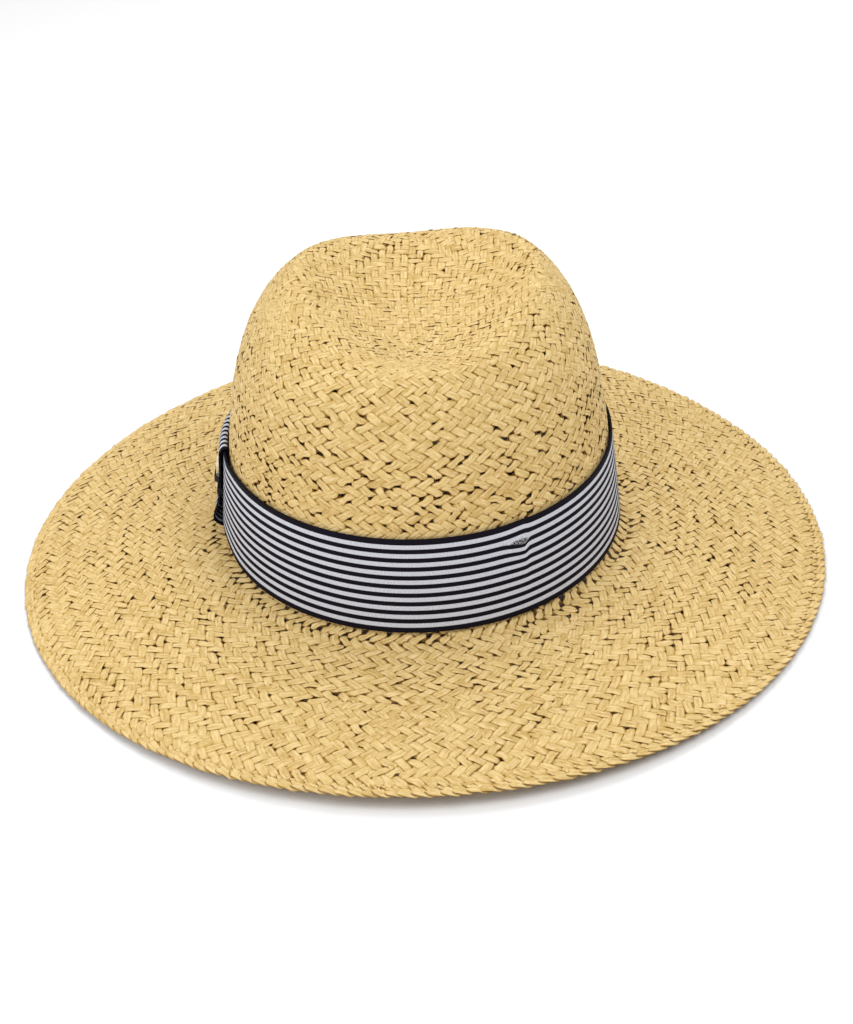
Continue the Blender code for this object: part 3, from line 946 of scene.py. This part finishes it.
def make_band(ribbon):
    """Striped ribbon stretched round the crown, with the snag at its front right."""
    start = radians(BAND_JOIN_ANGLE)
    fine = np.linspace(start, start + 2 * pi, OVAL_SAMPLES)
    middle = path_lengths(band_places(fine, BAND_HEIGHT / 2, FIT_GAP + BAND_THICKNESS))
    closeness = 1 + 2.6 * hump(fine - radians(SNAG_ANGLE), reach=0.13)
    columns = np.concatenate([[0], np.cumsum((closeness * np.gradient(middle))[1:])])

    def angles(share):
        return np.interp(share * columns[-1], columns, fine)

    def place(share, rise):
        angle = angles(share)
        height = BAND_HEIGHT * rise
        along = snag_along(angle)
        pull = snag_pull(along, SWELL_REACHES)
        above = height - SNAG_HEIGHT
        swell = SNAG_SWELL * pull * hump(above - SWELL_ABOVE, SWELL_HEIGHT)
        crease = SNAG_CREASE * hump(along, CREASE_LENGTH)
        crease = crease * hump(above + CREASE_BELOW, CREASE_HEIGHT)
        low = gathering(angle, *GATHER_BOTTOM)
        high = BAND_HEIGHT - gathering(angle, *GATHER_TOP)
        height = height * (high - low) / BAND_HEIGHT + low
        swell = swell + gathering(angle, *GATHER_SWELL)
        wave = BAND_WAVE * np.sin(5 * angle + 1.0) * rise * (1 - rise) * 4
        edge = BAND_EDGE_WAVE * np.sin(3 * angle + 0.4) * (rise - 0.5)
        height = height + edge + SNAG_EDGE_LIFT * pull * np.clip(rise * 4 - 3, 0, 1)
        outward = FIT_GAP + swell - crease + np.maximum(wave, 0)
        return band_places(angle, np.maximum(height, LOWEST_BAND), outward)

    def pattern(share, rise):
        angle = angles(share)
        height = snagged_pattern(snag_along(angle), BAND_HEIGHT * rise)
        return np.stack([np.interp(angle, fine, middle), height], 1)

    def marks(share, rise):
        return snag_marks(snag_along(angles(share)), BAND_HEIGHT * rise)

    size = {"steps": (560, 56), "thickness": BAND_THICKNESS, "offset": 1.0}
    sheet = wrapped_sheet("band_ribbon", ribbon, place, pattern, marks=marks, **size)
    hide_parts("hat_band")
    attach(sheet, "root")


def make_tab(ribbon):
    """Loop of the same ribbon, passed upright round the band and pinched by the tape."""
    rows = np.array([*TAB_OUTER_LEAF, *((height, out, out) for height, out in TAB_INNER_LEAF)])
    loop = smooth_loop(rows, steps=8)
    lengths = path_lengths(loop[:, ::2])
    turns = np.linspace(0, 1, len(loop))

    def place(share, rise):
        height, middle, edge = (np.interp(share, turns, column) for column in loop.T)
        outward = middle + (edge - middle) * np.abs(2 * rise - 1) ** 3
        along = TAB_FRONT + TAB_WIDTH * rise
        slack = TAB_WAVE * np.sin(along * 0.35) * np.clip((outward - 1.8) / 2, 0, 1)
        return side_places(along, height, outward + slack)

    def pattern(share, rise):
        across = (BAND_HEIGHT - TAB_WIDTH) / 2 + TAB_WIDTH * rise
        return np.stack([np.interp(share, turns, lengths), across], 1)

    sheet = wrapped_sheet("tab_ribbon", ribbon, place, pattern, (160, 40), TAB_RIBBON)
    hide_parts("ribbon_tab")
    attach(sheet, "root")
    return sheet, lengths[-1]


def make_tape(tape):
    """Plain tape across the tab, over the slide and round both edges of the tab."""
    path = eased_path(KEEPER_PATH, ease=0.7, step=0.2)
    lengths = path_lengths(path)
    shares = lengths / lengths[-1]

    def place(share, rise):
        along, outward = (np.interp(share, shares, column) for column in path.T)
        return side_places(along, SLIDE_Z + KEEPER_HEIGHT * (rise - 0.5), outward)

    def pattern(share, rise):
        return np.stack([share * lengths[-1], rise * KEEPER_HEIGHT], 1)

    sheet = wrapped_sheet("tab_tape", tape, place, pattern, (220, 8), KEEPER_THICKNESS)
    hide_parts("tab_keeper")
    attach(sheet, "root")
    return sheet


def operator(operation, reflected=False):
    """A method that adds a Math node; a reflected one puts its own value last."""
    def method(value, *others):
        values = (*others, value) if reflected else (value, *others)
        inputs = dict(enumerate(values))
        return value.material.node("ShaderNodeMath", {"operation": operation}, inputs)
    return method


class Value:
    """A number in a material; each sum or method adds a node."""

    def __init__(self, material, socket):
        self.material = material
        self.socket = socket

    __add__ = __radd__ = operator("ADD")
    __mul__ = __rmul__ = operator("MULTIPLY")
    __sub__ = operator("SUBTRACT")
    __rsub__ = operator("SUBTRACT", reflected=True)
    __truediv__ = operator("DIVIDE")
    __pow__ = operator("POWER")
    fraction = operator("FRACT")
    size = operator("ABSOLUTE")
    wave = operator("SINE")
    above = operator("GREATER_THAN")

    def range(self, low, high, to_low=0.0, to_high=1.0):
        inputs = {"Value": self, 1: low, 2: high, 3: to_low, 4: to_high}
        return self.material.node("ShaderNodeMapRange", {"clamp": True}, inputs)

    def mix(self, first, second):
        """Mixes two colours by this share."""
        inputs = {0: self, 6: first, 7: second}
        return self.material.node("ShaderNodeMix", {"data_type": "RGBA"}, inputs, 2)


class Finish:
    """One material and the nodes that make it."""

    def __init__(self, name):
        self.material = bpy.data.materials.new(name)
        self.material.use_nodes = True
        self.tree = self.material.node_tree
        self.shader = self.tree.nodes["Principled BSDF"]

    def node(self, kind, settings, inputs, output=0):
        """Adds a node: its settings, then the values or links of its sockets."""
        node = self.tree.nodes.new(kind)
        for key, value in settings.items():
            setattr(node, key, value)
        for key, value in inputs.items():
            self.feed(node.inputs[key], value)
        return Value(self, node.outputs[output])

    def feed(self, socket, value):
        """Links a value to a socket, or gives it a plain number or colour."""
        if isinstance(value, Value):
            self.tree.links.new(value.socket, socket)
        else:
            socket.default_value = value

    def set(self, name, value):
        """Feeds one socket of the shader."""
        self.feed(self.shader.inputs[name], value)

    def join(self, x, y, z):
        return self.node("ShaderNodeCombineXYZ", {}, {"X": x, "Y": y, "Z": z})

    def uv(self, name):
        """Distances along and across a piece, from its own map."""
        place = {"Vector": self.node("ShaderNodeUVMap", {"uv_map": name}, {})}
        return [self.node("ShaderNodeSeparateXYZ", {}, place, axis) for axis in range(2)]

    def attribute(self, name):
        return self.node("ShaderNodeAttribute", {"attribute_name": name}, {}, "Fac")

    def noise(self, vector, scale, detail=2.0, roughness=0.5):
        inputs = {"Vector": vector, "Scale": scale, "Detail": detail, "Roughness": roughness}
        return self.node("ShaderNodeTexNoise", {}, inputs)

    def bump(self, height, strength, distance):
        inputs = {"Height": height, "Strength": strength, "Distance": distance}
        self.set("Normal", self.node("ShaderNodeBump", {}, inputs))


def linear(red, green, blue):
    """A screen's colour, as the light that the nodes work with."""
    values = []
    for value in (red, green, blue):
        share = value / 255
        values.append(share / 12.92 if share <= 0.04045 else ((share + 0.055) / 1.055) ** 2.4)
    return (*values, 1.0)


def straw_finish():
    """Flat strips of twisted paper straw: gold in colour, streaked along their length,
    with painted shade where the strips hide one another.
    """
    finish = Finish("straw_strips")
    along, across = finish.uv("strip")
    tone = finish.attribute("tone")
    weave_shade = finish.attribute("weave_shade")
    streak_place = finish.join(along * 0.2 + tone * 90, across * 2.8, tone * 37)
    streaks = finish.noise(streak_place, 1.0, 4.0, 0.7)
    mottle = finish.noise(finish.join(along * 0.35 + tone * 50, across, tone * 71), 0.6, 2.0)
    warm = tone.mix(linear(197, 164, 95), linear(215, 186, 119))
    light = streaks.range(0.36, 0.68) * 0.9
    streaked = light.mix(warm, linear(247, 219, 164))
    worn = mottle.range(0.55, 0.75) * 0.35
    mottled = worn.mix(streaked, linear(186, 149, 82))
    # Painted shade: deeper in the weave the straw turns a deeper gold, then dark brown
    warm_shaded = (weave_shade.range(0.25, 0.85) * 0.5).mix(mottled, linear(198, 148, 52))
    shade = weave_shade.range(0.6, 1.0) ** 1.5 * 0.96
    finish.set("Base Color", shade.mix(warm_shaded, linear(84, 44, 0)))
    finish.set("Roughness", streaks.range(0.3, 0.7, 0.62, 0.48))
    fold = (across - 0.42 - tone * 0.16).size().range(0.0, 0.09)
    finish.bump(streaks + fold * 0.5, 1.0, 0.0003)
    finish.set("Specular IOR Level", 0.06)
    return finish.material


def ribbon_finish():
    """Ribbed ribbon, off-white with navy stripes along its length."""
    finish = Finish("striped_ribbon")
    along, across = finish.uv("ribbon")
    pitch = WHITE_STRIPE + NAVY_STRIPE
    half = TOOTH_DEPTH / 2
    teeth = ((along * (1 / TOOTH_PITCH)).fraction() - 0.5).size() * (2 * TOOTH_DEPTH) - half
    inside = across.above(SELVEDGE - half) * (1 - across.above(BAND_HEIGHT - SELVEDGE + half))
    in_pitch = ((across + teeth - SELVEDGE) / pitch).fraction() * pitch
    rising = in_pitch.range(0.0, STRIPE_SOFTNESS)
    falling = in_pitch.range(WHITE_STRIPE - STRIPE_SOFTNESS, WHITE_STRIPE, 1.0, 0.0)
    white = rising * falling * inside
    ribs = (along * (2 * pi / RIB_PITCH)).wave()
    threads = (across * (2 * pi / THREAD_PITCH)).wave()
    fibres = finish.noise(finish.join(along * 1.2, across * 6.0, 0.0), 1.0, 3.0, 0.6)
    pale = fibres.range(0.3, 0.7).mix(linear(180, 184, 199), linear(238, 242, 254))
    # Painted shade: the white is greyed in the grooves between the ribs
    pale = ribs.range(-1.0, 1.0, 0.25, 0.0).mix(pale, linear(140, 141, 155))
    dark = fibres.range(0.35, 0.75).mix(linear(14, 12, 22), linear(29, 26, 37))
    snag = finish.attribute("snag")
    specks = finish.noise(finish.join(along * 2.2, across * 2.6, 3.0), 1.0, 1.0, 0.4)
    pale = snag.range(0.1, 0.45, 0.0, 0.4).mix(pale, linear(120, 118, 126))
    holes = specks.range(0.44, 0.49) * snag.range(0.5, 0.8)
    pale = holes.mix(pale, linear(16, 15, 20))
    finish.set("Base Color", white.mix(dark, pale))
    finish.set("Roughness", fibres.range(0.3, 0.7, 0.62, 0.78))
    finish.bump(ribs * 0.5 + threads * 0.25 + fibres * 0.5 + white * 0.4, 0.35, 0.00012)
    finish.set("Specular IOR Level", 0.06)
    return finish.material


def tape_finish():
    """Plain ribbed navy tape."""
    finish = Finish("navy_tape")
    along, across = finish.uv("ribbon")
    ribs = (along * (2 * pi / TAPE_RIB_PITCH)).wave()
    fibres = finish.noise(finish.join(along * 1.5, across * 5.0, 0.0), 1.0, 2.0)
    dark = fibres.range(0.3, 0.7).mix(linear(13, 12, 20), linear(32, 31, 42))
    finish.set("Base Color", dark)
    finish.set("Roughness", 0.7)
    finish.bump(ribs * 0.6 + fibres * 0.4, 0.4, 0.00012)
    finish.set("Specular IOR Level", 0.25)
    return finish.material


def metal_finish():
    """Satin pale gold tone, almost cream, with faint brushing and a little wear."""
    finish = Finish("pale_gold")
    place = finish.node("ShaderNodeTexCoord", {}, {}, "Object")
    wear = finish.noise(place, 260.0, 3.0)
    brushed = finish.noise(place, 2400.0, 2.0)
    colour = wear.range(0.35, 0.7).mix(linear(250, 238, 205), linear(255, 250, 228))
    finish.set("Base Color", colour)
    finish.set("Metallic", 0.6)
    finish.set("Roughness", wear.range(0.3, 0.7, 0.26, 0.4))
    finish.bump(brushed, 0.12, 0.00005)
    return finish.material


def make_floor():
    """Plain pale floor."""
    bpy.ops.mesh.primitive_plane_add(size=12)
    floor = bpy.context.object
    floor.name = "floor"
    finish = Finish("pale_floor")
    finish.set("Base Color", (0.97, 0.97, 0.97, 1))
    finish.set("Roughness", 0.9)
    floor.data.materials.append(finish.material)


def make_lights():
    """Soft square studio lights, and even pale surroundings."""
    for name, (place, power) in LIGHTS.items():
        lamp = bpy.data.lights.new(name, "AREA")
        lamp.shape = "SQUARE"
        lamp.size = 1.0
        lamp.energy = power
        item = add_object(name, lamp)
        item.location = place
        aim = Vector(LIGHT_AIM) - Vector(place)
        item.rotation_euler = aim.to_track_quat("-Z", "Y").to_euler()
    world = bpy.data.worlds.new("studio")
    bpy.context.scene.world = world
    world.use_nodes = True
    background = world.node_tree.nodes["Background"]
    background.inputs["Color"].default_value = (1, 1, 1, 1)
    background.inputs["Strength"].default_value = SURROUNDINGS


def make_camera():
    """Camera at the photo's angle, aimed at the middle of the break."""
    data = bpy.data.cameras.new("photo_view")
    data.lens = FOCAL_PIXELS / IMAGE_HEIGHT * data.sensor_width
    data.shift_x = SHIFT_RIGHT / IMAGE_HEIGHT
    data.shift_y = SHIFT_DOWN / IMAGE_HEIGHT
    data.clip_start = 0.05
    camera = add_object("photo_view", data)
    tilt = radians(CAMERA_ELEVATION)
    away = Vector((0, -cos(tilt), sin(tilt)))
    camera.location = Vector((0, 0, BREAK_HEIGHT * MM)) + away * CAMERA_DISTANCE
    roll = Matrix.Rotation(radians(CAMERA_ROLL), 3, "Z")
    camera.rotation_euler = (Matrix.Rotation(pi / 2 - tilt, 3, "X") @ roll).to_euler()
    bpy.context.scene.camera = camera


def make_weave(straw):
    """The whole woven body, in four pieces."""
    chance = np.random.default_rng(WEAVE_SEED)
    surface = HatSurface()
    halves, shares, ahead = plan_weave(surface, chance)
    paths = strip_paths(halves, shares, ahead)
    sections = strip_sections(surface, paths, chance)
    tones = chance.random(len(paths))
    for name, first_row, end_row in WEAVE_PIECES:
        piece = strip_mesh(name, sections, first_row, end_row, tones)
        piece.data.materials.append(straw)
        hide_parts("straw_body")
        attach(piece, "root")


make_weave(straw_finish())
ribbon = ribbon_finish()
make_band(ribbon)
tab, tab_length = make_tab(ribbon)
tape = make_tape(tape_finish())
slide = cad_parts["slide"]
slide.data.materials.clear()
slide.data.materials.append(metal_finish())
make_floor()
make_lights()
make_camera()
bpy.context.scene.view_settings.view_transform = "Standard"
